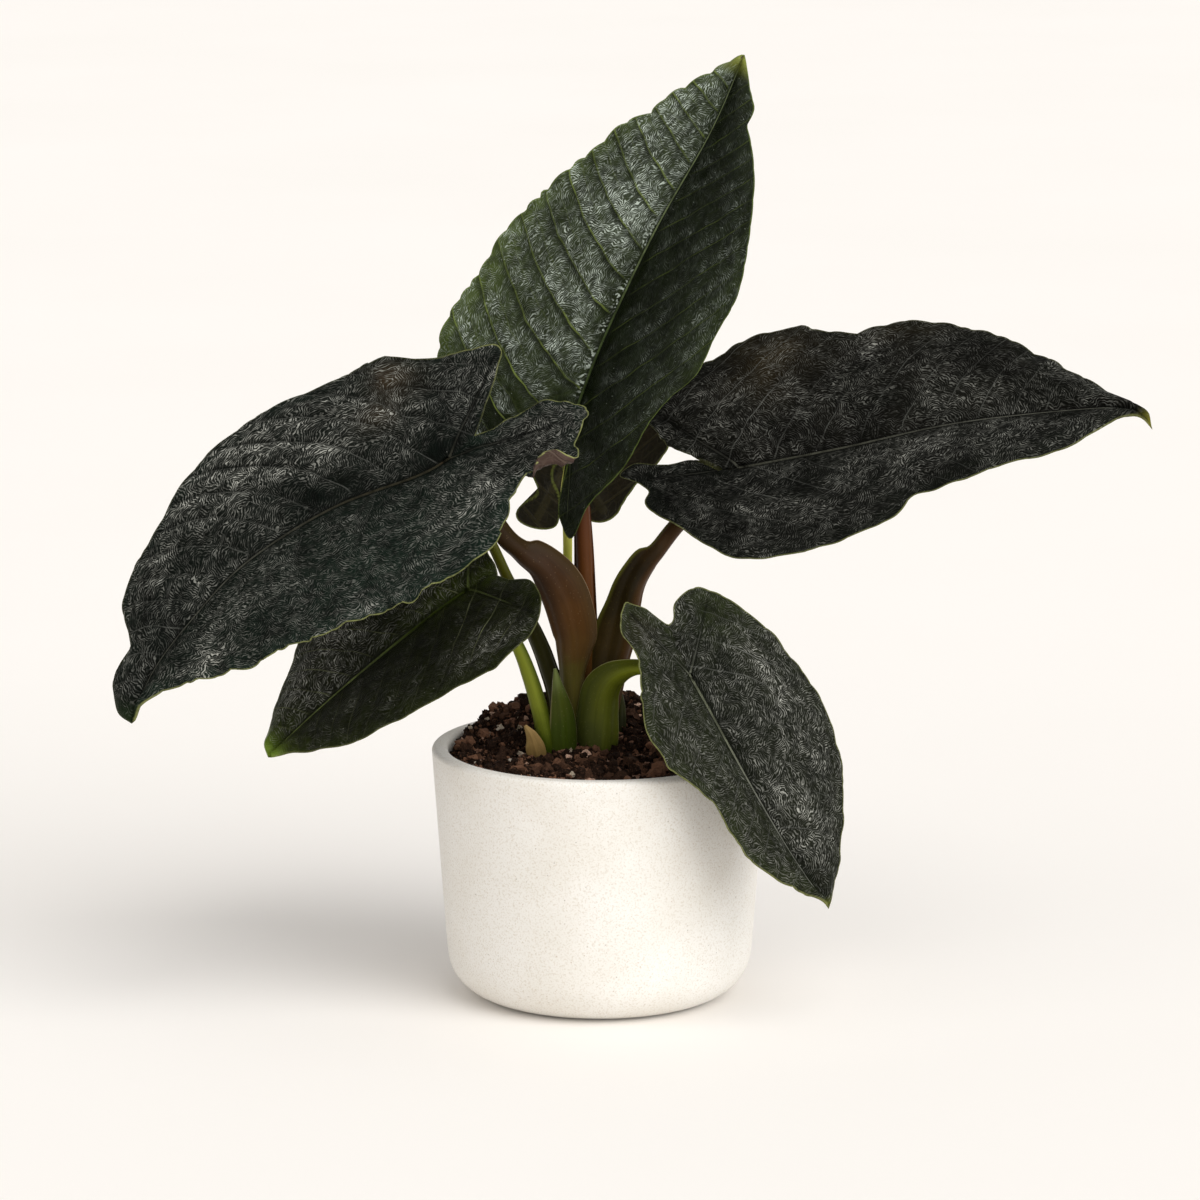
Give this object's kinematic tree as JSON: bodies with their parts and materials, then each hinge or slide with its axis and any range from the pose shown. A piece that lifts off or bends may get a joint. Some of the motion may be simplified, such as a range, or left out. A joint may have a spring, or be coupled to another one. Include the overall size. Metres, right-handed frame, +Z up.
{
  "type": "potted houseplant",
  "caption": "Velvet-leaved alocasia with dark arrow-shaped leaves on arching stalks, growing in a round off-white ceramic pot of potting mix.",
  "frame": {"origin": "middle of the flat foot that the pot stands on", "axes": "+Z up, +X to the right and +Y to the back, as the plant is seen from its front"},
  "size_m": [0.3949, 0.1617, 0.3631],
  "materials": {
    "pot": "matte stoneware, warm off-white with fine beige and grey speckles",
    "potting_mix": "loose dark brown crumbs with bark chips and a few white grains",
    "rhizome": "rough brown skin",
    "blade": "velvety charcoal green with silvery sheen, olive veins and a thin lime rim",
    "petiole_red_brown": "satin red-brown skin",
    "petiole_olive_brown": "satin dark brown skin fading to olive",
    "stem_green": "satin mid green skin",
    "petiole_lime": "satin yellow-green skin",
    "dry_sheath": "dry tan papery skin",
    "dark_sheath": "dark green to brown satin skin"
  },
  "bodies": {
    "root": {"pot": "pot", "potting_mix": "potting_mix", "rhizome": "rhizome", "sheath_green": "stem_green", "sheath_papery": "dry_sheath", "sheath_dark": "dark_sheath", "blade_left": "blade", "petiole_left": "petiole_red_brown", "blade_right": "blade", "petiole_right": "petiole_olive_brown", "blade_top": "blade", "petiole_top": "petiole_red_brown", "blade_lower_left": "blade", "petiole_lower_left": "petiole_lime", "blade_lower_right": "blade", "petiole_lower_right": "stem_green", "blade_back": "blade", "petiole_back": "petiole_lime", "blade_rear_left": "blade", "petiole_rear_left": "petiole_olive_brown"}
  },
  "joints": []
}
